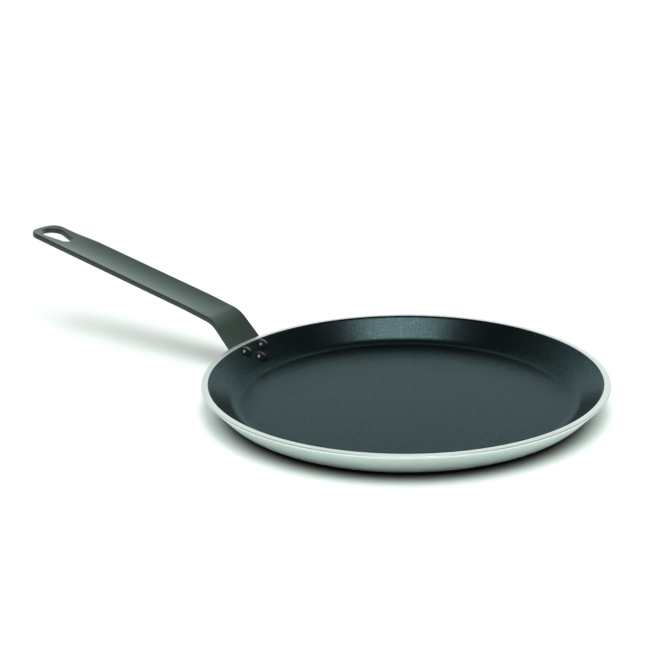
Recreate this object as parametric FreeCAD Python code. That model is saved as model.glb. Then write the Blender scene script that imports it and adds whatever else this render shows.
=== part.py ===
import FreeCAD, Part
import math
import os

# A crepe pan: a shallow aluminium pan with a turned rim, and a bent strip-steel
# handle on three rivets.
# Millimetres, +Z up. The origin is the centre of the base on the table, and
# the handle points along -X.

# ---- pan body --------------------------------------------------------------
rim_diameter = 260.0            # outside of the rim
rim_width = 4.1                 # flat ring between the inside wall and the outside
rim_band = 0.8                  # upright outer edge of the rim, chamfer included
rim_chamfer = 0.4               # between the rim's top and its band
pan_height = 19.2               # table to rim
wall_slope = 42.5               # degrees above the horizontal
floor_thickness = 3.7
inner_corner_radius = 12.0      # wall to floor, inside
outer_corner_radius = 22.0      # wall to base, outside

# ---- handle ----------------------------------------------------------------
strip_thickness = 3.6
strip_edge_chamfer = 0.5        # the strip's pressed edges are broken, the eye's too
flange_width = 30.0             # against the wall, from the rim down
flange_seat_gap = 0.05          # between the flange and the wall
bend_width = 28.8
grip_width = 28.2
flange_end_radius = 40.0        # of the arc across the flange's end
flange_corner_radius = 9.0
bend_rise = 17.2                # rim to the corner of the bend, on the top face
bend_radius = 16.0
grip_slope = 13.0               # degrees above the horizontal
grip_length = 182.5             # corner of the bend to the tail end
grip_dish_radius = 80.0         # the top face is hollow across its width
dish_run = 32.0                 # length after the bend over which the hollow grows
tail_end_radius = 28.0
tail_corner_radius = 9.0

# ---- hanging eye -----------------------------------------------------------
eye_border = 4.2                # steel left between the eye and the tail end
eye_length = 29.5
eye_round_radius = 8.4          # at the tail
eye_point_radius = 3.2          # towards the pan

# ---- rivets ----------------------------------------------------------------
rivet_upper_row = 5.8           # mouth to the upper pair, down the slope
rivet_lower_row = 13.6          # mouth to the single rivet, down the slope
rivet_pitch = 18.3              # between the upper pair
rivet_shank_diameter = 5.0      # the shank fills its hole
rivet_head_diameter = 8.0
rivet_head_height = 2.0
rivet_head_edge = 0.3           # upright edge of the dome
set_head_diameter = 8.4         # the head pressed flat outside, on the flange
set_head_height = 1.6
set_head_chamfer = 0.6
head_bedding = 0.3              # the heads are made this deep into the curved faces, then fitted
flange_overhang = 6.4           # lower rivet to the end of the flange

# ---- worked out ------------------------------------------------------------
slope = math.radians(wall_slope)
rise = math.radians(grip_slope)
rim_radius = rim_diameter / 2
mouth_radius = rim_radius - rim_width
wall_top_z = pan_height - rim_band
sections_per_stretch = 6        # of the strip's loft, between two changes of shape
trim_allowance = 4.0            # the strip is lofted this much too long and too wide


def point(x, y, z):
    return FreeCAD.Vector(x, y, z)


def along_wall(distance):
    """(radius, z) on the inside wall, a distance down the slope from the mouth."""
    return mouth_radius - distance * math.cos(slope), pan_height - distance * math.sin(slope)


def corner(start, level, radius):
    """Round the corner between a wall line from start and a level floor.

    Gives the points (radius, z) where the arc leaves the wall, its middle and
    where it meets the level.
    """
    corner_radius = start[0] - (start[1] - level) / math.tan(slope)
    reach = radius * math.tan(slope / 2)
    centre = (corner_radius - reach, level + radius)
    wall_end = (centre[0] + radius * math.sin(slope), centre[1] - radius * math.cos(slope))
    middle = (centre[0] + radius * math.sin(slope / 2), centre[1] - radius * math.cos(slope / 2))
    return wall_end, middle, (centre[0], level)


def revolve_profile(steps):
    """Turn a closed profile round Z.

    steps is a list of (radius, z) corners; an arc is given as a pair of
    points, its middle and its end.
    """
    edges = []
    here = steps[0]
    for step in steps[1:] + [steps[0]]:
        if isinstance(step[0], tuple):
            middle, end = step
            arc = Part.Arc(point(here[0], 0, here[1]), point(middle[0], 0, middle[1]),
                           point(end[0], 0, end[1]))
            edges.append(arc.toShape())
        else:
            end = step
            edges.append(Part.makeLine(point(here[0], 0, here[1]), point(end[0], 0, end[1])))
        here = end
    face = Part.Face(Part.Wire(edges))
    return face.revolve(point(0, 0, 0), point(0, 0, 1), 360)


def make_pan_body():
    """The pan turned round its axis: base, outside wall, rim, inside wall and floor."""
    outer_wall_end, outer_middle, base_edge = corner((rim_radius, wall_top_z), 0.0,
                                                     outer_corner_radius)
    inner_wall_end, inner_middle, floor_edge = corner((mouth_radius, pan_height),
                                                      floor_thickness, inner_corner_radius)
    return revolve_profile([
        (0.0, 0.0),
        base_edge,
        (outer_middle, outer_wall_end),
        (rim_radius, wall_top_z),
        (rim_radius, pan_height - rim_chamfer),
        (rim_radius - rim_chamfer, pan_height),
        (mouth_radius, pan_height),
        inner_wall_end,
        (inner_middle, floor_edge),
        (0.0, floor_thickness),
    ])


class Strip:
    """The handle's bent centre line, on the middle of its top face.

    Distances are measured along the strip from the corner of the bend, below
    zero on the flange and above zero on the grip.
    """

    def __init__(self):
        self.corner_z = pan_height + bend_rise
        wall_reach = rim_radius + (self.corner_z - wall_top_z) / math.tan(slope)
        self.corner_reach = wall_reach + flange_seat_gap / math.sin(slope)
        self.rim_distance = -(self.corner_z - wall_top_z) / math.sin(slope)
        self.turn = slope - rise
        self.tangent = bend_radius * math.tan(self.turn / 2)
        self.arc_centre = self._from_corner(-self.tangent, -bend_radius)
        self.flange_end = self.distance_at_wall(rivet_lower_row + flange_overhang)

    def _from_corner(self, distance, height):
        """(reach, z) at a distance along a straight stretch and a height off its face."""
        angle = rise if distance > 0 else slope
        reach = self.corner_reach + distance * math.cos(angle) - height * math.sin(angle)
        return reach, self.corner_z + distance * math.sin(angle) + height * math.cos(angle)

    def frame(self, distance):
        """(reach, z, angle) of the strip's face at a distance from the bend's corner."""
        if abs(distance) >= self.tangent:
            angle = rise if distance > 0 else slope
            reach, z = self._from_corner(distance, 0.0)
            return reach, z, angle
        angle = slope - self.turn * (distance + self.tangent) / (2 * self.tangent)
        reach = self.arc_centre[0] - bend_radius * math.sin(angle)
        z = self.arc_centre[1] + bend_radius * math.cos(angle)
        return reach, z, angle

    def distance_at_wall(self, down_slope):
        """Distance of the strip's point opposite one on the inside, down the slope from the mouth."""
        reach, z = along_wall(down_slope)
        along = (self.corner_reach - reach) * math.cos(slope) + (self.corner_z - z) * math.sin(slope)
        return -along

    def hollow(self, distance):
        """Curvature across the top face: the wall's own on the flange, the grip's beyond the bend."""
        reach = self.frame(min(distance, -self.tangent))[0]
        wall_curvature = math.sin(slope) / min(reach, rim_radius)
        share = min(max(distance / dish_run, 0.0), 1.0)
        eased = share * share * (3 - 2 * share)
        return wall_curvature + (1 / grip_dish_radius - wall_curvature) * eased

    def local_placement(self, distance):
        """Placement on the face at a distance: X towards the tail, Z out of the top face."""
        reach, z, angle = self.frame(distance)
        return self._placement(reach, z, angle)

    def straight_placement(self, angle):
        """Placement at the bend's corner, in the plane of the stretch that rises at the angle."""
        return self._placement(self.corner_reach, self.corner_z, angle)

    def _placement(self, reach, z, angle):
        tail_ward = point(-math.cos(angle), 0, math.sin(angle))
        outward = point(math.sin(angle), 0, math.cos(angle))
        turn = FreeCAD.Rotation(tail_ward, outward.cross(tail_ward), outward, "XZY")
        return FreeCAD.Placement(point(-reach, 0, z), turn)


def slab_section(strip, distance):
    """Outline across the strip before trimming: too wide, with the top face hollow."""
    half = flange_width / 2 + trim_allowance
    lift = half * half * strip.hollow(distance) / 2
    top = [point(0, -half, lift), point(0, 0, 0), point(0, half, lift)]
    drop = point(0, 0, -strip_thickness)
    bottom = [corner_point.add(drop) for corner_point in reversed(top)]
    wire = Part.Wire([
        Part.Arc(*top).toShape(),
        Part.makeLine(top[2], bottom[0]),
        Part.Arc(*bottom).toShape(),
        Part.makeLine(bottom[2], top[0]),
    ])
    wire.Placement = strip.local_placement(distance)
    return wire


def make_slab(strip):
    """The bent and dished strip, longer and wider than the handle, lofted through its sections."""
    start = strip.flange_end - trim_allowance
    end = grip_length + trim_allowance
    knots = [start, strip.rim_distance, -strip.tangent, strip.tangent, dish_run, end]
    stations = [start]
    for here, there in zip(knots, knots[1:]):
        step = (there - here) / sections_per_stretch
        stations += [here + step * count for count in range(1, sections_per_stretch + 1)]
    return Part.makeLoft([slab_section(strip, distance) for distance in stations], True, False)


def rounded_end(end_x, half_width, end_radius, corner_radius, way):
    """Edges across a strip's end: an arc of end_radius blended into both sides.

    way is +1 for an end that points to +X and -1 for one that points to -X.
    Returns the edges from the -Y side to the +Y side and the X where they
    leave the sides.
    """
    blend_y = half_width - corner_radius
    blend_x = -end_radius + math.sqrt((end_radius - corner_radius) ** 2 - blend_y ** 2)
    lean = math.atan2(blend_y, blend_x + end_radius)

    def on_blend(angle, side):
        x = blend_x + corner_radius * math.cos(angle)
        y = blend_y + corner_radius * math.sin(angle)
        return point(end_x + way * x, side * y, 0)

    middle = (math.pi / 2 + lean) / 2
    low = Part.Arc(on_blend(math.pi / 2, -1), on_blend(middle, -1), on_blend(lean, -1))
    across = Part.Arc(on_blend(lean, -1), point(end_x, 0, 0), on_blend(lean, 1))
    high = Part.Arc(on_blend(lean, 1), on_blend(middle, 1), on_blend(math.pi / 2, 1))
    return [low.toShape(), across.toShape(), high.toShape()], end_x + way * blend_x


def polyline(corners):
    return [Part.makeLine(start, end) for start, end in zip(corners, corners[1:])]


def prism(edges, placement, depth):
    """A prism of the given depth to each side of the plane that its outline lies in."""
    face = Part.Face(Part.Wire(edges))
    face.translate(point(0, 0, -depth))
    solid = face.extrude(point(0, 0, 2 * depth))
    solid.Placement = placement
    return solid


def plan_prism(strip):
    """The handle's outline seen square to the grip, open past the flange's end; X = 0 at the bend."""
    end_edges, end_x = rounded_end(grip_length, grip_width / 2, tail_end_radius,
                                   tail_corner_radius, 1)
    foreshortening = math.cos(strip.turn)
    widths = [
        (dish_run, grip_width),
        (0.0, bend_width),
        (strip.rim_distance * foreshortening, flange_width),
        (strip.flange_end * foreshortening - trim_allowance, flange_width),
    ]
    high = [point(end_x, grip_width / 2, 0)] + [point(x, width / 2, 0) for x, width in widths]
    low = [point(corner_point.x, -corner_point.y, 0) for corner_point in reversed(high)]
    edges = end_edges + polyline(high + low)
    return prism(edges, strip.straight_placement(rise), 2 * abs(strip.flange_end))


def flange_prism(strip):
    """The flange's rounded lower end in its own plane, open towards the grip."""
    wide = flange_width / 2
    end_edges, end_x = rounded_end(strip.flange_end, wide, flange_end_radius,
                                   flange_corner_radius, -1)
    far_x = grip_length + trim_allowance
    border = [point(end_x, wide, 0), point(far_x, wide, 0), point(far_x, -wide, 0),
              point(end_x, -wide, 0)]
    return prism(end_edges + polyline(border), strip.straight_placement(slope), grip_length)


def eye_prism(strip):
    """The teardrop eye: a large arc at the tail, a small one towards the pan."""
    tail_x = grip_length - eye_border
    round_x = tail_x - eye_round_radius
    point_x = tail_x - eye_length + eye_point_radius
    lean = math.asin((eye_round_radius - eye_point_radius) / (round_x - point_x))

    def on_arc(centre_x, radius, angle):
        return point(centre_x + radius * math.cos(angle), radius * math.sin(angle), 0)

    touch = math.pi / 2 + lean
    round_ends = [on_arc(round_x, eye_round_radius, side * touch) for side in (1, -1)]
    point_ends = [on_arc(point_x, eye_point_radius, side * touch) for side in (1, -1)]
    edges = [
        Part.Arc(round_ends[1], point(tail_x, 0, 0), round_ends[0]).toShape(),
        Part.makeLine(round_ends[0], point_ends[0]),
        Part.Arc(point_ends[0], point(tail_x - eye_length, 0, 0), point_ends[1]).toShape(),
        Part.makeLine(point_ends[1], round_ends[1]),
    ]
    return prism(edges, strip.straight_placement(rise), 4 * strip_thickness)


def make_handle_blank(strip):
    """The slab trimmed to the handle's outline, with its eye and its edges broken."""
    blank = make_slab(strip).common(plan_prism(strip)).common(flange_prism(strip))
    blank = blank.cut(eye_prism(strip))
    broad_faces = sorted(blank.Faces, key=lambda face: face.Area)[-2:]
    edges = [edge for face in broad_faces for edge in face.Edges]
    return blank.makeChamfer(strip_edge_chamfer, edges)


def rivet_placement(down_slope, side):
    """Placement on the pan's inside face whose Z is the wall's inward normal."""
    radius, z = along_wall(down_slope)
    turn = math.asin(side * rivet_pitch / 2 / radius)
    outward = point(-math.cos(turn), math.sin(turn), 0)
    normal = outward * -math.sin(slope) + point(0, 0, math.cos(slope))
    up_slope = outward * math.cos(slope) + point(0, 0, math.sin(slope))
    rotation = FreeCAD.Rotation(up_slope, normal.cross(up_slope), normal, "XZY")
    return FreeCAD.Placement(outward * radius + point(0, 0, z), rotation)


def clamped_thickness():
    """Wall and strip, square to the wall, with the gap between them."""
    wall = rim_width * math.sin(slope) + rim_band * math.cos(slope)
    return wall + flange_seat_gap + strip_thickness


def make_shank(placement):
    """The shank by itself, past both faces, to cut its hole."""
    length = clamped_thickness() + 2 * head_bedding
    shank = Part.makeCylinder(rivet_shank_diameter / 2, length, point(0, 0, head_bedding - length))
    shank.Placement = placement
    return shank


def make_rivet(placement):
    """Domed head inside, shank, and the flat head set outside, before fitting to the curved faces."""
    shank_radius = rivet_shank_diameter / 2
    head_radius = rivet_head_diameter / 2
    set_radius = set_head_diameter / 2
    outside = -clamped_thickness()
    set_top = outside - set_head_height

    cap = rivet_head_height - rivet_head_edge
    ball_radius = (head_radius ** 2 + cap ** 2) / (2 * cap)
    half_way = math.asin(head_radius / ball_radius) / 2
    dome_middle = (ball_radius * math.sin(half_way),
                   rivet_head_height - ball_radius * (1 - math.cos(half_way)))
    rivet = revolve_profile([
        (0.0, set_top),
        (set_radius - set_head_chamfer, set_top),
        (set_radius, set_top + set_head_chamfer),
        (set_radius, outside + head_bedding),
        (shank_radius, outside + head_bedding),
        (shank_radius, -head_bedding),
        (head_radius, -head_bedding),
        (head_radius, rivet_head_edge),
        (dome_middle, (0.0, rivet_head_height)),
    ])
    rivet.Placement = placement
    return rivet


def main():
    os.makedirs("parts", exist_ok=True)
    pan_body = make_pan_body()
    handle = make_handle_blank(Strip())
    places = {
        "rivet_upper_left": rivet_placement(rivet_upper_row, 1),
        "rivet_upper_right": rivet_placement(rivet_upper_row, -1),
        "rivet_lower": rivet_placement(rivet_lower_row, 0),
    }
    for place in places.values():
        shank = make_shank(place)
        pan_body = pan_body.cut(shank)
        handle = handle.cut(shank)

    parts = {"pan_body": pan_body, "handle": handle}
    for name, place in places.items():
        parts[name] = make_rivet(place).cut(pan_body).cut(handle).removeSplitter()
    for name, shape in parts.items():
        shape.exportStep("parts/" + name + ".step")


main()
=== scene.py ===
import math

import bpy
import numpy as np
from bpy.props import FloatProperty, FloatVectorProperty, IntProperty, PointerProperty
from mathutils import Matrix, Vector


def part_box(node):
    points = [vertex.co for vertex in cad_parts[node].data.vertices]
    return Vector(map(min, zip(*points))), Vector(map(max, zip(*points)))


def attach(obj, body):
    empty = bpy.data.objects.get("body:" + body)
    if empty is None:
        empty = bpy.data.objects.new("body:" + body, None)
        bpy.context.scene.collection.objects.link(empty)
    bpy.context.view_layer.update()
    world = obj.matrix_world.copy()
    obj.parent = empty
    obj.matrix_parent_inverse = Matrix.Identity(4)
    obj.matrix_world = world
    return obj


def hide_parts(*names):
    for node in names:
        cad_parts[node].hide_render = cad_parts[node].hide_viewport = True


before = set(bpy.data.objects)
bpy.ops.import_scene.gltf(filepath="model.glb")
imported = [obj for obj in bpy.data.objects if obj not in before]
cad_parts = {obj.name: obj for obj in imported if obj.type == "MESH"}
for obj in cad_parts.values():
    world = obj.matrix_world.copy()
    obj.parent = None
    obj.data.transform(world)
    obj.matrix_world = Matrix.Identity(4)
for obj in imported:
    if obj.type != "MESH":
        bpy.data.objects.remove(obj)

bl_info = {
    "name": "Crepe pan",
    "version": (1, 0, 0),
    "blender": (4, 5, 0),
    "location": "3D View > Sidebar > Crepe pan",
    "description": "Builds a crepe pan with its finishes, and a plain studio round it",
    "category": "Add Mesh",
}

MM = 0.001
BODY = "root"
PAN_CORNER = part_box("pan_body")[1]
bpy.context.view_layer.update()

WELD_STEP = 1e-8        # in metres: points this near each other are the same
SUPPORT = 1.6           # where the strip's flat faces start, in roundings of its edge
SENSOR_WIDTH = 36.0     # full frame, in millimetres
BLACK = (0.0, 0.0, 0.0)
WHITE = (1.0, 1.0, 1.0)
ORIGIN = Vector((0.0, 0.0, 0.0))
UP = Vector((0.0, 0.0, 1.0))


# ---- properties --------------------------------------------------------------

def length(name, description, millimetres):
    """A length, given in millimetres and kept in metres."""
    return FloatProperty(name=name, description=description, default=millimetres * MM,
                         min=0.0, unit="LENGTH", subtype="DISTANCE", precision=5)


def angle(name, description, degrees):
    """An angle, given in degrees and kept in radians."""
    return FloatProperty(name=name, description=description, default=math.radians(degrees),
                         subtype="ANGLE", unit="ROTATION")


def share(name, description, value):
    """A number from 0 to 1."""
    return FloatProperty(name=name, description=description, default=value,
                         min=0.0, max=1.0, subtype="FACTOR")


def number(name, description, value):
    """A plain number, 0 or more."""
    return FloatProperty(name=name, description=description, default=value, min=0.0, precision=3)


def point(name, description, value):
    """A point of the part's frame, in metres."""
    return FloatVectorProperty(name=name, description=description, default=value,
                               size=3, unit="LENGTH", subtype="TRANSLATION")


def colour(name, description, value):
    """A linear colour."""
    return FloatVectorProperty(name=name, description=description, default=value,
                               size=3, min=0.0, max=1.0, subtype="COLOR")


class PanSizes(bpy.types.PropertyGroup):
    """Sizes of the turned pan and of its coating."""

    rim_radius: length("Rim radius", "Outside of the rim, from the frame", PAN_CORNER.x / MM)
    height: length("Height", "Table to rim, from the frame", PAN_CORNER.z / MM)
    rim_width: length("Rim width", "Bare ring between the coating and the outside", 4.1)
    rim_band: length("Rim band", "Upright outer edge of the rim", 0.8)
    rim_edge: length("Rim edge", "Rounding between the rim's top and its band", 0.4)
    mouth_edge: length("Mouth edge", "Rounding between the rim's top and the inside", 0.15)
    wall_slope: angle("Wall slope", "Inside wall above the horizontal", 42.5)
    outer_slope: angle("Outer slope", "Outside wall above the horizontal", 47.5)
    floor_thickness: length("Floor thickness", "Base to the coated floor", 3.7)
    inner_corner: length("Inner corner", "Radius between wall and floor, inside", 12.0)
    outer_corner: length("Outer corner", "Radius between wall and base, outside", 22.0)
    coat_thickness: length("Coat thickness", "Non-stick coating over the metal", 0.05)
    coat_overlap: length("Coat overlap", "How deep the coating's back lies in the metal", 0.02)
    segments: IntProperty(name="Segments", description="Steps round the axis", default=256, min=24)


class HandleSizes(bpy.types.PropertyGroup):
    """Sizes of the bent strip; distances along it start at the corner of the bend."""

    thickness: length("Thickness", "Of the strip", 3.95)
    edge: length("Edge", "Rounding of the strip's edges and of the eye", 0.75)
    seat_gap: length("Seat gap", "Between the flange and the wall", 0.05)
    flange_width: length("Flange width", "Against the wall, from the rim down", 31.4)
    bend_width: length("Bend width", "At the corner of the bend", 30.1)
    grip_width: length("Grip width", "From the end of the dish run to the taper", 30.1)
    tail_width: length("Tail width", "From the end of the taper to the tail", 27.8)
    taper_start: length("Taper start", "Before the tail end", 50.0)
    taper_end: length("Taper end", "Before the tail end", 20.0)
    flange_end_radius: length("Flange end radius", "Arc across the flange's end", 40.0)
    flange_corner: length("Flange corner", "Radius at the corners of the flange's end", 9.0)
    flange_overhang: length("Flange overhang", "Lower rivet to the flange's end", 4.8)
    bend_rise: length("Bend rise", "Rim to the corner of the bend", 16.45)
    bend_radius: length("Bend radius", "Of the top face", 20.5)
    grip_slope: angle("Grip slope", "Grip above the horizontal", 13.0)
    grip_length: length("Grip length", "Corner of the bend to the tail end", 186.3)
    dish_radius: length("Dish radius", "Hollow across the grip's top face", 80.0)
    tail_dish_radius: length("Tail dish radius", "The same, beyond the taper", 138.0)
    dish_run: length("Dish run", "Over which the hollow grows after the bend", 32.0)
    tail_end_radius: length("Tail end radius", "Arc across the tail", 28.0)
    tail_corner: length("Tail corner", "Radius at the tail's corners", 9.0)
    eye_border: length("Eye border", "Steel between the eye and the tail end", 5.0)
    eye_length: length("Eye length", "Of the hanging eye", 26.6)
    eye_round_radius: length("Eye round radius", "At the tail", 8.3)
    eye_point_radius: length("Eye point radius", "Towards the pan", 5.0)


class RivetSizes(bpy.types.PropertyGroup):
    """Sizes and places of the three rivets."""

    upper_row: length("Upper row", "Mouth to the upper pair, down the slope", 5.3)
    lower_row: length("Lower row", "Mouth to the lower rivet, down the slope", 13.1)
    pitch: length("Pitch", "Between the upper pair", 18.3)
    shank_radius: length("Shank radius", "Of the shank", 2.5)
    head_radius: length("Head radius", "Of the domed head inside", 4.4)
    head_height: length("Head height", "Of the domed head", 2.2)
    head_edge: length("Head edge", "Upright edge under the dome", 0.3)
    bedding: length("Bedding", "How deep the heads reach into the faces that they press on", 0.6)
    set_radius: length("Set head radius", "Of the flat head outside", 4.2)
    set_height: length("Set head height", "Of the flat head outside", 1.2)
    set_rounding: length("Set head rounding", "Round the flat head's edge", 0.5)
    segments: IntProperty(name="Segments", description="Steps round the axis", default=64, min=24)


class Finishes(bpy.types.PropertyGroup):
    """Colours and gloss of the finishes."""

    metal: colour("Metal", "Bare aluminium outside", (0.72, 0.80, 0.775))
    metal_roughness: share("Metal roughness", "Of the outside wall", 0.48)
    rim: colour("Rim", "The rim's turned face", (0.73, 0.70, 0.70))
    rim_roughness: share("Rim roughness", "Of the rim's turned face", 0.40)
    coat: colour("Coating", "Non-stick coating", (0.053, 0.080, 0.089))
    coat_edge: colour("Coating edge", "What the coating keeps of its shine at a low angle",
                      (0.60, 0.63, 0.635))
    coat_flake: share("Coating flake", "Mineral flakes in the coating, which shine as metal", 0.95)
    coat_roughness: share("Coating roughness", "Of the non-stick coating", 0.26)
    epoxy: colour("Epoxy", "Handle's epoxy", (0.024, 0.038, 0.030))
    epoxy_roughness: share("Epoxy roughness", "Of the handle's epoxy", 0.34)
    epoxy_shine: share("Epoxy shine", "Specular level of the handle's epoxy", 0.40)
    epoxy_tint: colour("Epoxy tint", "Of the epoxy's shine", (0.80, 1.0, 0.91))
    powder: share("Powder", "Sheen of the epoxy's powdery face", 0.27)
    powder_roughness: share("Powder roughness", "Of that sheen", 0.4)
    powder_tint: colour("Powder tint", "Of that sheen", (0.72, 1.0, 0.86))
    stud: colour("Rivet", "Coated rivets", (0.007, 0.008, 0.008))
    stud_roughness: share("Rivet roughness", "Of the rivets", 0.17)


class StudioSettings(bpy.types.PropertyGroup):
    """Camera, lamp, surroundings and floor; a height in the sky is the elevation's sine."""

    azimuth: angle("Azimuth", "Camera's right axis, turned from +X", 35.0)
    elevation: angle("Elevation", "Camera above the horizontal", 18.213)
    roll: angle("Roll", "Turn about the line of sight", -1.26)
    distance: length("Distance", "Camera to the point it aims at", 793.8)
    aim: point("Aim", "Point at the centre of the view", (-0.03724, -0.02607, 0.04861))
    lens: FloatProperty(name="Lens", description="Focal length in millimetres",
                        default=67.67, unit="CAMERA")
    lamp_place: point("Lamp place", "Middle of the lamp", (0.273, -0.346, 1.0))
    lamp_width: length("Lamp width", "From side to side of the view", 500.0)
    lamp_depth: length("Lamp depth", "Along the view", 850.0)
    lamp_power: number("Lamp power", "In watts", 8.4)
    lamp_tint: colour("Lamp tint", "Of the lamp's light", (0.93, 1.0, 0.96))
    card_level: number("Card level", "Of the white card behind the object, at its foot", 2.25)
    card_tint: colour("Card tint", "Of all that glossy surfaces reflect", (0.86, 1.0, 0.96))
    card_foot: share("Card foot", "Height in the sky above which the card fades", 0.10)
    card_top: share("Card top", "Height in the sky at which it is gone", 0.86)
    card_edge: share("Card edge", "Sideways, where the card's sides start to fade", 0.45)
    card_end: share("Card end", "Sideways, where the card ends", 0.80)
    card_front: share("Card front", "Away from the camera, where the card is whole", 0.2)
    haze_level: share("Haze level", "What is left of the card at the horizon", 0.35)
    haze_top: share("Haze top", "Height in the sky above which the card is whole", 0.25)
    room_level: share("Room level", "Of the room all round", 0.05)
    sky_low: number("Sky, low", "Light on matt surfaces from the horizon", 0.1)
    sky_high: number("Sky, high", "Light on matt surfaces from straight above", 1.25)
    floor_radius: length("Floor radius", "Of the pale floor", 9000.0)
    floor_level: share("Floor level", "How pale the floor is", 0.91)
    floor_tint: colour("Floor tint", "Of the floor and its shadows", (0.95, 1.0, 0.965))
    floor_bounce: share("Floor bounce", "How pale the floor is to the light it gives back", 0.26)
    # painted contact shadow: the seen floor's colour runs from this dark level under the pan, at
    # the start radius, up to the floor's level at the end radius
    painted_shadow_level: share("Contact level", "How pale the floor is under the pan", 0.02)
    painted_shadow_start: length("Contact start", "Radius at which the floor starts to turn pale", 110.3)
    painted_shadow_end: length("Contact end", "Radius at which it is at its full level", 126.2)
    fade_middle: point("Fade middle", "Middle of the floor's shaded part", (-0.1, 0.0, 0.0))
    fade_start: length("Fade start", "Radius at which the floor starts to turn plain white", 250.0)
    fade_end: length("Fade end", "Radius beyond which it is plain white", 500.0)


class CrepePanSettings(bpy.types.PropertyGroup):
    """All that a user would change."""

    pan: PointerProperty(type=PanSizes)
    handle: PointerProperty(type=HandleSizes)
    rivets: PointerProperty(type=RivetSizes)
    finishes: PointerProperty(type=Finishes)
    studio: PointerProperty(type=StudioSettings)


# ---- meshes ------------------------------------------------------------------

def grid_quads(rows, columns, first=0):
    """Quads of a grid of points laid out row by row, as an array of four indices each."""
    row, column = np.meshgrid(np.arange(rows - 1), np.arange(columns - 1), indexing="ij")
    corner = (first + row * columns + column).ravel()
    return np.stack([corner, corner + 1, corner + columns + 1, corner + columns], axis=1)


def weld(points, quads):
    """Merge points nearer than a step, and turn the quads that this closes into triangles."""
    keys = np.round(points / WELD_STEP).astype(np.int64)
    _, first, index = np.unique(keys, axis=0, return_index=True, return_inverse=True)
    points, quads = points[first], index.reshape(-1)[quads]
    same_as_next = quads == np.roll(quads, -1, axis=1)
    repeats = same_as_next.sum(axis=1)
    whole = quads[repeats == 0]
    pinched, where = quads[repeats == 1], same_as_next[repeats == 1].argmax(axis=1)
    take = (where[:, None] + np.array([1, 2, 3])) % 4
    triangles = np.take_along_axis(pinched, take, axis=1)
    return points, whole, triangles


def signed_volume(points, quads, triangles):
    """Volume by summing tetrahedra from the origin; positive where the faces point outwards."""
    halves = np.concatenate([quads[:, [0, 1, 2]], quads[:, [0, 2, 3]], triangles])
    a, b, c = (points[halves[:, k]] for k in range(3))
    return np.einsum("ij,ij->", a, np.cross(b, c)) / 6


def add_object(name, points, quads, triangles, material):
    """Link a new object with these faces and one material."""
    mesh = bpy.data.meshes.new(name)
    mesh.from_pydata(points.tolist(), [], quads.tolist() + triangles.tolist())
    mesh.materials.append(material)
    thing = bpy.data.objects.new(name, mesh)
    bpy.context.scene.collection.objects.link(thing)
    return thing


def add_piece(name, patches, material, node):
    """Join grids of points into one closed, smooth mesh that stands for a node."""
    points = np.concatenate([patch.reshape(-1, 3) for patch in patches])
    starts = np.cumsum([0] + [patch.shape[0] * patch.shape[1] for patch in patches[:-1]])
    quads = np.concatenate([grid_quads(patch.shape[0], patch.shape[1], start)
                            for patch, start in zip(patches, starts)])
    points, quads, triangles = weld(points, quads)
    if signed_volume(points, quads, triangles) < 0:
        quads, triangles = quads[:, ::-1], triangles[:, ::-1]
    piece = add_object(name, points, quads, triangles, material)
    piece.data.polygons.foreach_set("use_smooth", np.ones(len(piece.data.polygons), bool))
    piece.data.validate()
    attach(piece, BODY)
    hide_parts(node)


def arc(centre, radius, start, end, steps):
    """Points on a circle: centre plus radius times (cos, sin) from the start to the end angle."""
    turn = np.linspace(start, end, steps + 1)
    return np.stack([centre[0] + radius * np.cos(turn), centre[1] + radius * np.sin(turn)], axis=1)


def line(start, end, steps):
    """Evenly spaced points from start to end."""
    return np.linspace(start, end, steps + 1)


def lathe(profile, segments):
    """Turn a profile of (radius, z) about Z: x = r cos u, y = r sin u, with u once round."""
    turn = np.linspace(0.0, 2 * math.pi, segments + 1)
    turn[-1] = 0.0
    radius, z = profile[:, :1], profile[:, 1:]
    return np.stack([radius * np.cos(turn), radius * np.sin(turn),
                     np.broadcast_to(z, (len(profile), segments + 1))], axis=2)


# ---- pan ---------------------------------------------------------------------

def wall_corner(start, level, slope, radius, steps):
    """The arc between a wall line that comes down from start and a level floor."""
    foot = start[0] - (start[1] - level) / math.tan(slope)
    centre = (foot - radius * math.tan(slope / 2), level + radius)
    return arc(centre, radius, slope - math.pi / 2, -math.pi / 2, steps)


def inside_profile(pan, depth):
    """The inside from the mouth down to the axis, at a depth under the coating's face.

    A straight wall, an arc of the inner corner's radius, and a level floor.
    """
    wall_steps, corner_steps, floor_steps = 10, 12, 40
    slope = pan.wall_slope
    mouth = (pan.rim_radius - pan.rim_width + depth / math.sin(slope), pan.height)
    level = pan.floor_thickness - depth
    bend = wall_corner(mouth, level, slope, pan.inner_corner + depth, corner_steps)
    start = np.array(mouth) - pan.mouth_edge * np.array([math.cos(slope), math.sin(slope)])
    return np.concatenate([
        line(start, bend[0], wall_steps),
        bend[1:],
        line(bend[-1], (0.0, level), floor_steps)[1:],
    ])


def inside_point(pan, down_slope):
    """Radius and height on the inside wall, a distance down the slope from the mouth."""
    mouth = pan.rim_radius - pan.rim_width
    return (mouth - down_slope * math.cos(pan.wall_slope),
            pan.height - down_slope * math.sin(pan.wall_slope))


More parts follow.
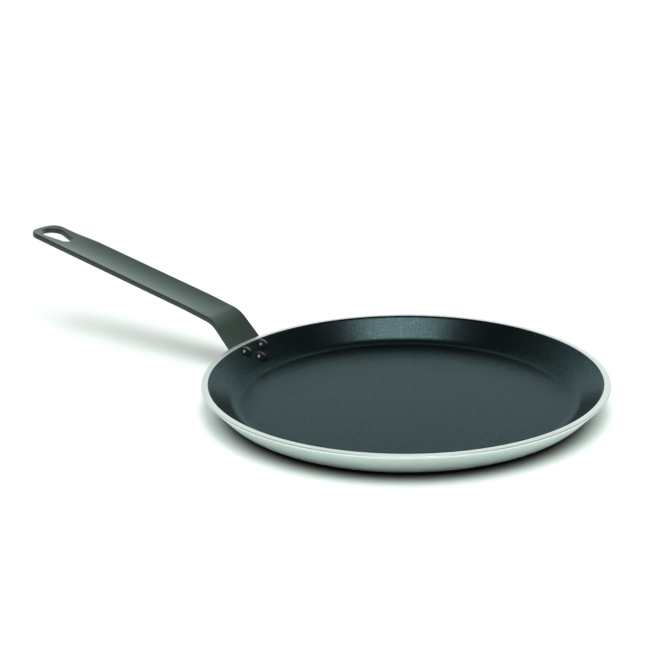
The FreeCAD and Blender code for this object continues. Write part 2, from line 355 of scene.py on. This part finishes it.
def outside_profile(pan):
    """The outside from the axis under the base, up the wall and round the rim to the mouth.

    A level base, an arc, a straight wall, the upright band, a quarter round and
    the rim's level top.
    """
    base_steps, corner_steps, wall_steps, edge_steps, top_steps = 30, 16, 10, 5, 4
    band_foot = (pan.rim_radius, pan.height - pan.rim_band)
    bend = wall_corner(band_foot, 0.0, pan.outer_slope, pan.outer_corner, corner_steps)[::-1]
    edge_centre = (pan.rim_radius - pan.rim_edge, pan.height - pan.rim_edge)
    edge = arc(edge_centre, pan.rim_edge, 0.0, math.pi / 2, edge_steps)
    mouth = pan.rim_radius - pan.rim_width
    top = line((edge_centre[0], pan.height), (mouth + pan.mouth_edge, pan.height), top_steps)
    return np.concatenate([
        line((0.0, 0.0), bend[0], base_steps),
        bend[1:],
        line(bend[-1], band_foot, wall_steps)[1:],
        edge,
        top[1:],
    ])


# ---- handle ------------------------------------------------------------------

def eased(value, start, end):
    """0 before start, 1 after end, and a smooth rise 3 t^2 - 2 t^3 between them."""
    part = np.clip((value - start) / (end - start), 0.0, 1.0)
    return part * part * (3 - 2 * part)


class Strip:
    """Where the points of the flat strip go once it is bent and dished.

    steep is the slope of the flange, gentle that of the grip, turn the angle
    between them and tangent the bend's length on each side of its corner.
    """

    def __init__(self, pan, handle):
        self.pan, self.handle = pan, handle
        self.steep, self.gentle = pan.outer_slope, handle.grip_slope
        self.turn = self.steep - self.gentle
        self.tangent = handle.bend_radius * math.tan(self.turn / 2)
        self.corner_z = pan.height + handle.bend_rise
        wall_top_z = pan.height - pan.rim_band
        self.corner_reach = (pan.rim_radius + (self.corner_z - wall_top_z) / math.tan(self.steep)
                             + handle.seat_gap / math.sin(self.steep))
        self.rim_distance = -(self.corner_z - wall_top_z) / math.sin(self.steep)

    def centre_line(self, distance):
        """Reach, height and slope of the top face's middle: straight, an arc, then straight."""
        along = np.clip((distance + self.tangent) / (2 * self.tangent), 0.0, 1.0)
        lean = self.steep - self.turn * along
        start = self.corner_reach - self.tangent * math.cos(self.steep)
        start_z = self.corner_z - self.tangent * math.sin(self.steep)
        radius = self.handle.bend_radius
        reach = start + radius * (math.sin(self.steep) - np.sin(lean))
        z = start_z + radius * (np.cos(lean) - math.cos(self.steep))
        before = np.minimum(distance + self.tangent, 0.0)
        after = np.maximum(distance - self.tangent, 0.0)
        reach = reach + before * math.cos(self.steep) + after * math.cos(self.gentle)
        z = z + before * math.sin(self.steep) + after * math.sin(self.gentle)
        return reach, z, lean

    def beyond_taper(self, distance):
        """0 on the grip, rising to 1 over the taper before the tail."""
        handle = self.handle
        return eased(distance, handle.grip_length - handle.taper_start,
                     handle.grip_length - handle.taper_end)

    def hollow(self, distance):
        """Curvature across the strip: of the wall, then of the grip, then of the tail."""
        handle = self.handle
        reach = self.centre_line(np.minimum(distance, -self.tangent))[0]
        wall = math.sin(self.steep) / np.minimum(reach, self.pan.rim_radius)
        grip, tail = 1 / handle.dish_radius, 1 / handle.tail_dish_radius
        dish = grip + (tail - grip) * self.beyond_taper(distance)
        return wall + (dish - wall) * eased(distance, 0.0, handle.dish_run)

    def half_width(self, distance):
        """Half the strip's width: smooth changes between the flange, bend, grip and tail."""
        handle = self.handle
        width = (handle.flange_width
                 + (handle.bend_width - handle.flange_width)
                 * eased(distance, self.rim_distance, 0.0)
                 + (handle.grip_width - handle.bend_width) * eased(distance, 0.0, handle.dish_run)
                 + (handle.tail_width - handle.grip_width) * self.beyond_taper(distance))
        return width / 2

    def opposite(self, inside):
        """Distance of the flange's point opposite one on the inside wall, (radius, z)."""
        return ((inside[0] - self.corner_reach) * math.cos(self.steep)
                + (inside[1] - self.corner_z) * math.sin(self.steep))

    def underside_depth(self, inside):
        """From a point on the inside wall to the flange's underside, square to the inside wall."""
        to_face = ((self.corner_reach - inside[0]) * math.sin(self.steep)
                   - (self.corner_z - inside[1]) * math.cos(self.steep))
        return (to_face + self.handle.thickness) / math.cos(self.steep - self.pan.wall_slope)

    def place(self, plan, height):
        """Points of the part from (distance, across) and a height off the top face.

        The point goes across the strip along Y, and off the centre line, square to
        it, by the height plus half the curvature times the distance across squared.
        """
        distance, across = plan[..., 0], plan[..., 1]
        reach, z, lean = self.centre_line(distance)
        lift = height + across * across * self.hollow(distance) / 2
        return np.stack([-reach + lift * np.sin(lean), across, z + lift * np.cos(lean)], axis=-1)


def end_curve(end, half_width, end_radius, corner, inset, way, across_steps, corner_steps):
    """The rounded end of a strip from its -Y side to its +Y side: corner, arc, corner.

    The corners touch the sides and the arc from inside, and all three radii shrink
    by the inset. way is +1 for an end that points along the distance and -1 for
    the other.
    """
    blend_across = half_width - corner
    blend_back = -end_radius + math.sqrt((end_radius - corner) ** 2 - blend_across ** 2)
    lean = math.atan2(blend_across, blend_back + end_radius)
    high = arc((blend_back, blend_across), corner - inset, lean, math.pi / 2, corner_steps)
    across = arc((-end_radius, 0.0), end_radius - inset, -lean, lean, across_steps)
    low = high[::-1] * (1, -1)
    curve = np.concatenate([low, across[1:], high[1:]])
    return np.stack([end + way * curve[:, 0], curve[:, 1]], axis=1)


def strip_plan(strip, flange_end, inset):
    """Two grids that fill the strip's outline, drawn in by an inset.

    The first runs from the flange's end to a seam across before the eye, and each
    row is the end's curve, which straightens out along the way. The second goes
    round the eye: its first row is the eye, two arcs and the lines that touch them,
    and its last the outline, in four stretches: across, one side, round the tail,
    other side. The rows between are even steps from one to the other.
    """
    handle = strip.handle
    across_steps, corner_steps, rows, side_steps, rings = 14, 8, 130, 26, 9
    flange = end_curve(flange_end, handle.flange_width / 2, handle.flange_end_radius,
                       handle.flange_corner, inset, -1, across_steps, corner_steps)
    tail = end_curve(handle.grip_length, handle.tail_width / 2, handle.tail_end_radius,
                     handle.tail_corner, inset, 1, across_steps, corner_steps)
    point_centre = (handle.grip_length - handle.eye_border - handle.eye_length
                    + handle.eye_point_radius)
    round_centre = handle.grip_length - handle.eye_border - handle.eye_round_radius
    seam_gap = handle.grip_width / 3
    seam = point_centre - handle.eye_point_radius - seam_gap

    share_across = flange[:, 1] / (handle.flange_width / 2 - inset)
    row = line(flange_end + inset, seam, rows)
    straightening = 2 * handle.flange_corner
    straight = np.clip((row - row[0]) / straightening, 0.0, 1.0)[:, None]
    distance = row[:, None] + (flange[:, 0] - row[0]) * (1 - straight)
    across = share_across * (strip.half_width(distance) - inset)
    front = np.stack([distance, across], axis=2)

    lean = math.asin((handle.eye_round_radius - handle.eye_point_radius)
                     / (round_centre - point_centre))
    touch = math.pi / 2 + lean
    count = len(flange) - 1
    small = arc((point_centre, 0.0), handle.eye_point_radius + inset,
                2 * math.pi - touch, touch, count)
    large = arc((round_centre, 0.0), handle.eye_round_radius + inset, touch, -touch, count)
    eye = np.concatenate([small, line(small[-1], large[0], side_steps)[1:], large[1:],
                          line(large[-1], small[0], side_steps)[1:]])
    run = line(seam, tail[-1, 0], side_steps)
    side = np.stack([run, strip.half_width(run) - inset], axis=1)
    outline = np.concatenate([front[-1], side[1:], tail[-2::-1], side[-2::-1] * (1, -1)])
    outward = np.linspace(0.0, 1.0, rings + 1)[:, None, None]
    around = eye + (outline - eye) * outward
    return front, around


def outline_of(front, around):
    """The whole outline as one closed loop, from the two grids of the plan."""
    columns = front.shape[1]
    tail_ward = around[-1, columns - 1:]
    return np.concatenate([front[0], front[1:, -1], tail_ward[1:], front[-2::-1, 0]])


def handle_patches(strip, flange_end):
    """Top, underside, outer edge and eye edge of the strip.

    An edge is a quarter round, the upright side and a quarter round, carried
    along the outline as rows of (inset, height).
    """
    edge_steps = 5
    edge, thickness = strip.handle.edge, strip.handle.thickness
    support = SUPPORT * edge
    quarter = np.linspace(0.0, math.pi / 2, edge_steps + 1)
    insets = edge * (1 - np.sin(quarter))
    heights = -edge * (1 - np.cos(quarter))
    insets = np.concatenate([[support], insets, insets[::-1], [support]])
    heights = np.concatenate([[0.0], heights, -thickness - heights[::-1], [-thickness]])
    front, around = strip_plan(strip, flange_end, support)
    front_top, front_under = (strip.place(front, height) for height in (0.0, -thickness))
    around_top, around_under = (strip.place(around, height) for height in (0.0, -thickness))
    plans = [strip_plan(strip, flange_end, inset) for inset in insets]
    outer = np.stack([strip.place(outline_of(*plan), height)
                      for plan, height in zip(plans, heights)])
    eye = np.stack([strip.place(plan[1][0], height) for plan, height in zip(plans, heights)])
    return [front_top, front_under[::-1], around_top[::-1], around_under, outer[::-1], eye]


# ---- rivets ------------------------------------------------------------------

def rivet_profile(rivets, clamped):
    """A rivet from the flat head's middle to the dome's, along the wall's inward normal.

    A flat head with a rounded edge, the shank through what it clamps, and a head
    whose dome is a piece of a sphere over an upright edge.
    """
    face_steps, corner_steps, dome_steps = 4, 6, 14
    outside = -clamped
    set_top = outside - rivets.set_height
    rounding = rivets.set_rounding
    cap = rivets.head_height - rivets.head_edge
    ball = (rivets.head_radius ** 2 + cap ** 2) / (2 * cap)
    dome_angle = math.acos(rivets.head_radius / ball)
    dome = arc((0.0, rivets.head_height - ball), ball, dome_angle, math.pi / 2, dome_steps)
    corner = arc((rivets.set_radius - rounding, set_top + rounding), rounding,
                 -math.pi / 2, 0.0, corner_steps)
    return np.concatenate([
        line((0.0, set_top), corner[0], face_steps),
        corner[1:],
        [(rivets.set_radius, outside + rivets.bedding),
         (rivets.shank_radius, outside + rivets.bedding),
         (rivets.shank_radius, -rivets.bedding), (rivets.head_radius, -rivets.bedding)],
        dome,
    ])


def rivet_placement(pan, rivets, down_slope, side):
    """Turn and place of a rivet: its Z is the wall's inward normal, from the coated face."""
    slope = pan.wall_slope
    radius, z = inside_point(pan, down_slope)
    turn = math.asin(side * rivets.pitch / 2 / radius)
    outward = np.array([-math.cos(turn), math.sin(turn), 0.0])
    up = np.array([0.0, 0.0, 1.0])
    normal = -math.sin(slope) * outward + math.cos(slope) * up
    up_slope = math.cos(slope) * outward + math.sin(slope) * up
    axes = np.stack([up_slope, np.cross(normal, up_slope), normal])
    return axes, outward * radius + up * z


# ---- materials ---------------------------------------------------------------

class Tree:
    """A node tree, with short ways to add and join nodes."""

    def __init__(self, tree):
        self.tree = tree

    def add(self, kind, **settings):
        """A new node with these settings."""
        node = self.tree.nodes.new(kind)
        for key, value in settings.items():
            setattr(node, key, value)
        return node

    def link(self, output, target):
        """Join an output to an input."""
        self.tree.links.new(output, target)

    def feed(self, value, target):
        """Give an input a number, or another node's output."""
        if isinstance(value, (int, float)):
            target.default_value = value
        else:
            self.link(value, target)

    def math(self, operation, first, second=0.0):
        """Two numbers put together, or one changed."""
        node = self.add("ShaderNodeMath", operation=operation)
        self.feed(first, node.inputs[0])
        self.feed(second, node.inputs[1])
        return node.outputs["Value"]

    def vector(self, operation, first, second):
        """A number from a vector and a constant one: DOT_PRODUCT or DISTANCE."""
        node = self.add("ShaderNodeVectorMath", operation=operation)
        self.link(first, node.inputs[0])
        node.inputs[1].default_value = second
        return node.outputs["Value"]

    def remap(self, value, low, high, start=0.0, end=1.0, kind="LINEAR"):
        """Values from start to end become low to high."""
        node = self.add("ShaderNodeMapRange", interpolation_type=kind)
        for key, limit in (("From Min", start), ("From Max", end), ("To Min", low),
                           ("To Max", high)):
            node.inputs[key].default_value = limit
        self.link(value, node.inputs["Value"])
        return node.outputs["Result"]

    def mix(self, factor, first, second):
        """Colour between first, which may be another node's output, and second."""
        node = self.add("ShaderNodeMix", data_type="RGBA")
        if isinstance(first, bpy.types.NodeSocket):
            self.link(first, node.inputs["A"])
        else:
            node.inputs["A"].default_value = (*first, 1.0)
        node.inputs["B"].default_value = (*second, 1.0)
        self.link(factor, node.inputs["Factor"])
        return node.outputs["Result"]

    def seen(self):
        """1 for rays from the camera, off a glossy surface or through glass, otherwise 0."""
        path = self.add("ShaderNodeLightPath").outputs
        glossy = self.math("MAXIMUM", path["Is Glossy Ray"], path["Is Transmission Ray"])
        return self.math("MAXIMUM", path["Is Camera Ray"], glossy)

    def blend(self, factor, first, second):
        """A shader between two others."""
        node = self.add("ShaderNodeMixShader")
        self.link(factor, node.inputs[0])
        self.link(first, node.inputs[1])
        self.link(second, node.inputs[2])
        return node.outputs["Shader"]


class Finish(Tree):
    """A material's node tree, with its shader and object coordinates ready."""

    def __init__(self, name):
        self.material = bpy.data.materials.new(name)
        self.material.use_nodes = True
        super().__init__(self.material.node_tree)
        self.shader = self.tree.nodes["Principled BSDF"]
        self.output = self.tree.nodes["Material Output"]
        self.place = self.add("ShaderNodeTexCoord").outputs["Object"]

    def set_inputs(self, **constants):
        """Give the shader's inputs numbers and colours, their names written with underscores."""
        for key, value in constants.items():
            number_or_colour = value if isinstance(value, float) else (*value, 1.0)
            self.shader.inputs[key.replace("_", " ")].default_value = number_or_colour

    def noise(self, scale, detail, roughness):
        """Noise over the piece, scale in features per metre."""
        node = self.add("ShaderNodeTexNoise")
        node.inputs["Scale"].default_value = scale
        node.inputs["Detail"].default_value = detail
        node.inputs["Roughness"].default_value = roughness
        self.link(self.place, node.inputs["Vector"])
        return node.outputs["Fac"]

    def bump(self, height, distance, strength, below=None):
        """Relief of a height from 0 to 1, distance deep, over another relief if given."""
        node = self.add("ShaderNodeBump")
        node.inputs["Strength"].default_value = strength
        node.inputs["Distance"].default_value = distance
        self.link(height, node.inputs["Height"])
        if below:
            self.link(below, node.inputs["Normal"])
        return node.outputs["Normal"]


def scaled(colour_value, factor):
    """A colour made lighter or darker."""
    return tuple(min(channel * factor, 1.0) for channel in colour_value)


def turned_aluminium(finishes, rim_start, rim_end):
    """Satin metal with fine turning rings and a faint cloudiness, smoother on the rim."""
    base, roughness = finishes.metal, finishes.metal_roughness
    nodes = Finish("turned_aluminium")
    nodes.set_inputs(Base_Color=base, Roughness=roughness, Metallic=1.0)
    rings = nodes.add("ShaderNodeTexWave", wave_type="RINGS", rings_direction="Z")
    for key, value in (("Scale", 260.0), ("Distortion", 0.6), ("Detail", 2.0)):
        rings.inputs[key].default_value = value
    nodes.link(nodes.place, rings.inputs["Vector"])
    cloud = nodes.noise(scale=22.0, detail=4.0, roughness=0.6)
    wall = nodes.mix(cloud, scaled(base, 0.95), scaled(base, 1.04))
    height = nodes.vector("DOT_PRODUCT", nodes.place, UP)
    on_rim = nodes.remap(height, 0.0, 1.0, start=rim_start, end=rim_end)
    nodes.link(nodes.mix(on_rim, wall, finishes.rim), nodes.shader.inputs["Base Color"])
    satin = nodes.remap(cloud, roughness - 0.05, roughness + 0.05)
    smoother = nodes.math("MULTIPLY", on_rim, roughness - finishes.rim_roughness)
    nodes.link(nodes.math("SUBTRACT", satin, smoother), nodes.shader.inputs["Roughness"])
    relief = nodes.bump(rings.outputs["Fac"], distance=0.004 * MM, strength=0.5)
    nodes.link(relief, nodes.shader.inputs["Normal"])
    return nodes.material


def nonstick_coating(finishes):
    """Sprayed dark coating: orange peel, a fine grain, and flakes that show as paler specks."""
    base, roughness = finishes.coat, finishes.coat_roughness
    nodes = Finish("nonstick_coating")
    nodes.set_inputs(Base_Color=base, Roughness=roughness, Metallic=finishes.coat_flake,
                     Specular_IOR_Level=0.0, Specular_Tint=finishes.coat_edge)
    grain = nodes.noise(scale=2600.0, detail=2.0, roughness=0.6)
    peel = nodes.noise(scale=900.0, detail=2.0, roughness=0.5)
    flakes = nodes.noise(scale=1300.0, detail=2.0, roughness=0.6)
    cloud = nodes.noise(scale=30.0, detail=3.0, roughness=0.5)
    specks = nodes.remap(flakes, 0.0, 1.0, start=0.60, end=0.74)
    nodes.link(nodes.mix(specks, scaled(base, 0.48), scaled(base, 2.3)),
               nodes.shader.inputs["Base Color"])
    nodes.link(nodes.remap(cloud, roughness - 0.03, roughness + 0.03),
               nodes.shader.inputs["Roughness"])
    relief = nodes.bump(peel, distance=0.030 * MM, strength=1.0)
    relief = nodes.bump(grain, distance=0.016 * MM, strength=1.0, below=relief)
    nodes.link(relief, nodes.shader.inputs["Normal"])
    return nodes.material


def handle_epoxy(finishes):
    """Dark grey-green satin epoxy with a fine powdery relief and sheen."""
    base, roughness = finishes.epoxy, finishes.epoxy_roughness
    nodes = Finish("handle_epoxy")
    nodes.set_inputs(Base_Color=base, Roughness=roughness,
                     Specular_IOR_Level=finishes.epoxy_shine, Specular_Tint=finishes.epoxy_tint,
                     Sheen_Weight=finishes.powder, Sheen_Roughness=finishes.powder_roughness,
                     Sheen_Tint=finishes.powder_tint)
    grain = nodes.noise(scale=1500.0, detail=3.0, roughness=0.6)
    cloud = nodes.noise(scale=60.0, detail=4.0, roughness=0.6)
    nodes.link(nodes.mix(cloud, scaled(base, 0.9), scaled(base, 1.1)),
               nodes.shader.inputs["Base Color"])
    nodes.link(nodes.remap(cloud, roughness - 0.04, roughness + 0.04),
               nodes.shader.inputs["Roughness"])
    nodes.link(nodes.bump(grain, distance=0.010 * MM, strength=0.5),
               nodes.shader.inputs["Normal"])
    return nodes.material


def rivet_coat(finishes):
    """Glossy near-black coat over the rivets, slightly uneven."""
    base = finishes.stud
    nodes = Finish("rivet_coat")
    nodes.set_inputs(Base_Color=base, Roughness=finishes.stud_roughness)
    cloud = nodes.noise(scale=700.0, detail=3.0, roughness=0.5)
    nodes.link(nodes.mix(cloud, scaled(base, 0.8), scaled(base, 1.5)),
               nodes.shader.inputs["Base Color"])
    nodes.link(nodes.bump(cloud, distance=0.02 * MM, strength=0.3),
               nodes.shader.inputs["Normal"])
    return nodes.material


def pale_floor_painted_shadow(studio):
    """Matt floor with a painted contact shadow, dark under the pan, and plain white far off, where
    it is seen.

    Rays that only carry light meet a greyer matt floor, so that little light
    comes back from it onto the object.
    """
    nodes = Finish("pale_floor_painted_shadow")
    nodes.tree.nodes.remove(nodes.shader)
    paper = nodes.add("ShaderNodeBsdfDiffuse")
    paper.inputs["Color"].default_value = (*scaled(WHITE, studio.floor_bounce), 1.0)
    lit = nodes.add("ShaderNodeBsdfDiffuse")
    white = nodes.add("ShaderNodeEmission")
    # painted contact shadow: the seen floor's colour darkens towards the pan's foot, whatever the
    # lamps do
    from_pan = nodes.vector("DISTANCE", nodes.place, ORIGIN)
    painted_contact_shadow = nodes.remap(from_pan, studio.painted_shadow_level, studio.floor_level,
                           studio.painted_shadow_start, studio.painted_shadow_end, "SMOOTHSTEP")
    nodes.link(nodes.mix(painted_contact_shadow, BLACK, studio.floor_tint), lit.inputs["Color"])
    from_middle = nodes.vector("DISTANCE", nodes.place, studio.fade_middle)
    far = nodes.remap(from_middle, 0.0, 1.0, studio.fade_start, studio.fade_end, "SMOOTHSTEP")
    shown = nodes.blend(far, lit.outputs["BSDF"], white.outputs["Emission"])
    nodes.link(nodes.blend(nodes.seen(), paper.outputs["BSDF"], shown),
               nodes.output.inputs["Surface"])
    return nodes.material


# ---- operators ---------------------------------------------------------------

class CREPEPAN_OT_shell(bpy.types.Operator):
    """Build the turned aluminium pan"""

    bl_idname = "crepe_pan.shell"
    bl_label = "Pan shell"

    def execute(self, context):
        settings = context.scene.crepe_pan
        pan = settings.pan
        profile = np.concatenate([outside_profile(pan), inside_profile(pan, pan.coat_thickness)])
        metal = turned_aluminium(settings.finishes, pan.height - pan.rim_edge, pan.height)
        add_piece("pan_shell", [lathe(profile, pan.segments)], metal, "pan_body")
        return {"FINISHED"}


class CREPEPAN_OT_coating(bpy.types.Operator):
    """Build the non-stick coating over the inside"""

    bl_idname = "crepe_pan.coating"
    bl_label = "Non-stick coating"

    def execute(self, context):
        settings = context.scene.crepe_pan
        pan = settings.pan
        face = inside_profile(pan, 0.0)
        back = inside_profile(pan, pan.coat_thickness + pan.coat_overlap)[::-1]
        profile = np.concatenate([face, back, face[:1]])
        add_piece("nonstick_coat", [lathe(profile, pan.segments)],
                  nonstick_coating(settings.finishes), "pan_body")
        return {"FINISHED"}


class CREPEPAN_OT_handle(bpy.types.Operator):
    """Build the bent and dished strip handle with its hanging eye"""

    bl_idname = "crepe_pan.handle"
    bl_label = "Handle"

    def execute(self, context):
        settings = context.scene.crepe_pan
        pan, handle, rivets = settings.pan, settings.handle, settings.rivets
        strip = Strip(pan, handle)
        flange_end = strip.opposite(inside_point(pan, rivets.lower_row + handle.flange_overhang))
        add_piece("strip_handle", handle_patches(strip, flange_end),
                  handle_epoxy(settings.finishes), "handle")
        return {"FINISHED"}


class CREPEPAN_OT_rivets(bpy.types.Operator):
    """Build the three rivets"""

    bl_idname = "crepe_pan.rivets"
    bl_label = "Rivets"

    def execute(self, context):
        settings = context.scene.crepe_pan
        pan, handle, rivets = settings.pan, settings.handle, settings.rivets
        strip = Strip(pan, handle)
        material = rivet_coat(settings.finishes)
        places = {"upper_left": (rivets.upper_row, 1), "upper_right": (rivets.upper_row, -1),
                  "lower": (rivets.lower_row, 0)}
        for name, (down_slope, side) in places.items():
            profile = rivet_profile(rivets, strip.underside_depth(inside_point(pan, down_slope)))
            axes, centre = rivet_placement(pan, rivets, down_slope, side)
            add_piece("stud_" + name, [lathe(profile, rivets.segments) @ axes + centre],
                      material, "rivet_" + name)
        return {"FINISHED"}


class CREPEPAN_OT_stage(bpy.types.Operator):
    """Set the floor, the surroundings, the lamp and the camera"""

    bl_idname = "crepe_pan.stage"
    bl_label = "Stage"

    def execute(self, context):
        scene = context.scene
        scene.view_settings.view_transform = "Standard"
        studio = scene.crepe_pan.studio
        add_floor(studio)
        add_surroundings(scene, studio)
        add_lamp(scene, studio)
        add_camera(scene, studio)
        return {"FINISHED"}


def level_axes(studio):
    """The level directions to the camera's right and away from it."""
    cosine, sine = math.cos(studio.azimuth), math.sin(studio.azimuth)
    return Vector((cosine, sine, 0.0)), Vector((-sine, cosine, 0.0))


def add_floor(studio):
    """A disc: a level line from the axis outwards, turned about Z."""
    steps = 64
    disc = lathe(line((0.0, 0.0), (studio.floor_radius, 0.0), 1), steps)
    points, quads, triangles = weld(disc.reshape(-1, 3), grid_quads(2, steps + 1))
    add_object("floor", points, quads, triangles, pale_floor_painted_shadow(studio))


def add_surroundings(scene, studio):
    """White to the camera. To the object, a dim room with a white card behind it.

    The card fades upwards, to both sides and in the haze at the horizon. Matt
    surfaces also get a soft light that grows with height, and glossy ones see
    all of it in the card's tint.
    """
    world = bpy.data.worlds.new("studio")
    world.use_nodes = True
    nodes = Tree(world.node_tree)
    background = world.node_tree.nodes["Background"]
    way = nodes.add("ShaderNodeTexCoord").outputs["Generated"]
    right_axis, away_axis = level_axes(studio)
    sideways = nodes.math("ABSOLUTE", nodes.vector("DOT_PRODUCT", way, right_axis))
    away = nodes.vector("DOT_PRODUCT", way, away_axis)
    up = nodes.vector("DOT_PRODUCT", way, UP)
    card = nodes.remap(up, studio.card_level, 0.0, studio.card_foot, studio.card_top)
    fades = (
        nodes.remap(up, studio.haze_level, 1.0, 0.0, studio.haze_top),
        nodes.remap(sideways, 1.0, 0.0, studio.card_edge, studio.card_end, "SMOOTHSTEP"),
        nodes.remap(away, 0.0, 1.0, 0.0, studio.card_front, "SMOOTHSTEP"),
    )
    for fade in fades:
        card = nodes.math("MULTIPLY", card, fade)
    path = nodes.add("ShaderNodeLightPath").outputs
    sky = nodes.remap(up, studio.sky_low, studio.sky_high)
    soft = nodes.math("MULTIPLY", sky, path["Is Diffuse Ray"])
    level = nodes.math("MAXIMUM", nodes.math("MAXIMUM", card, studio.room_level), soft)
    nodes.link(nodes.math("MAXIMUM", level, path["Is Camera Ray"]),
               background.inputs["Strength"])
    nodes.link(nodes.mix(path["Is Glossy Ray"], WHITE, studio.card_tint),
               background.inputs["Color"])
    scene.world = world


def add_lamp(scene, studio):
    """A soft box overhead, nearer the camera than the pan, turned to the view."""
    light = bpy.data.lights.new("overhead_box", "AREA")
    light.shape = "RECTANGLE"
    light.size, light.size_y = studio.lamp_width, studio.lamp_depth
    light.energy = studio.lamp_power
    light.color = studio.lamp_tint
    lamp = bpy.data.objects.new("overhead_box", light)
    turn = Matrix.Rotation(studio.azimuth, 4, "Z")
    lamp.matrix_world = Matrix.Translation(studio.lamp_place) @ turn
    scene.collection.objects.link(lamp)


def add_camera(scene, studio):
    """A camera at a distance from the aim, turned to the azimuth, elevation and roll."""
    elevation, roll = studio.elevation, studio.roll
    side, away = level_axes(studio)
    ahead = away * math.cos(elevation) - UP * math.sin(elevation)
    above = away * math.sin(elevation) + UP * math.cos(elevation)
    right = side * math.cos(roll) + above * math.sin(roll)
    up = above * math.cos(roll) - side * math.sin(roll)
    camera_data = bpy.data.cameras.new("camera")
    camera_data.lens = studio.lens
    camera_data.sensor_width = SENSOR_WIDTH
    camera = bpy.data.objects.new("camera", camera_data)
    turn = Matrix((right, up, -ahead)).transposed().to_4x4()
    camera.matrix_world = Matrix.Translation(Vector(studio.aim) - ahead * studio.distance) @ turn
    scene.collection.objects.link(camera)
    scene.camera = camera


class CREPEPAN_PT_panel(bpy.types.Panel):
    """Sizes, finishes and the steps that build the pan"""

    bl_idname = "CREPEPAN_PT_panel"
    bl_label = "Crepe pan"
    bl_space_type = "VIEW_3D"
    bl_region_type = "UI"
    bl_category = "Crepe pan"

    def draw(self, context):
        settings = context.scene.crepe_pan
        for operator in OPERATORS:
            self.layout.operator(operator.bl_idname)
        for group in (settings.pan, settings.handle, settings.rivets, settings.finishes,
                      settings.studio):
            box = self.layout.box()
            for key in group.__annotations__:
                box.prop(group, key)


OPERATORS = (CREPEPAN_OT_shell, CREPEPAN_OT_coating, CREPEPAN_OT_handle, CREPEPAN_OT_rivets,
             CREPEPAN_OT_stage)
CLASSES = (PanSizes, HandleSizes, RivetSizes, Finishes, StudioSettings, CrepePanSettings,
           *OPERATORS, CREPEPAN_PT_panel)


def register():
    """Register the classes, and keep the settings with each scene."""
    for each in CLASSES:
        bpy.utils.register_class(each)
    bpy.types.Scene.crepe_pan = PointerProperty(type=CrepePanSettings)


def unregister():
    """Take the settings and the classes away again."""
    del bpy.types.Scene.crepe_pan
    for each in reversed(CLASSES):
        bpy.utils.unregister_class(each)


def main():
    """Build the pieces and the stage."""
    register()
    bpy.ops.crepe_pan.shell()
    bpy.ops.crepe_pan.coating()
    bpy.ops.crepe_pan.handle()
    bpy.ops.crepe_pan.rivets()
    bpy.ops.crepe_pan.stage()


if __name__ == "__main__":
    main()
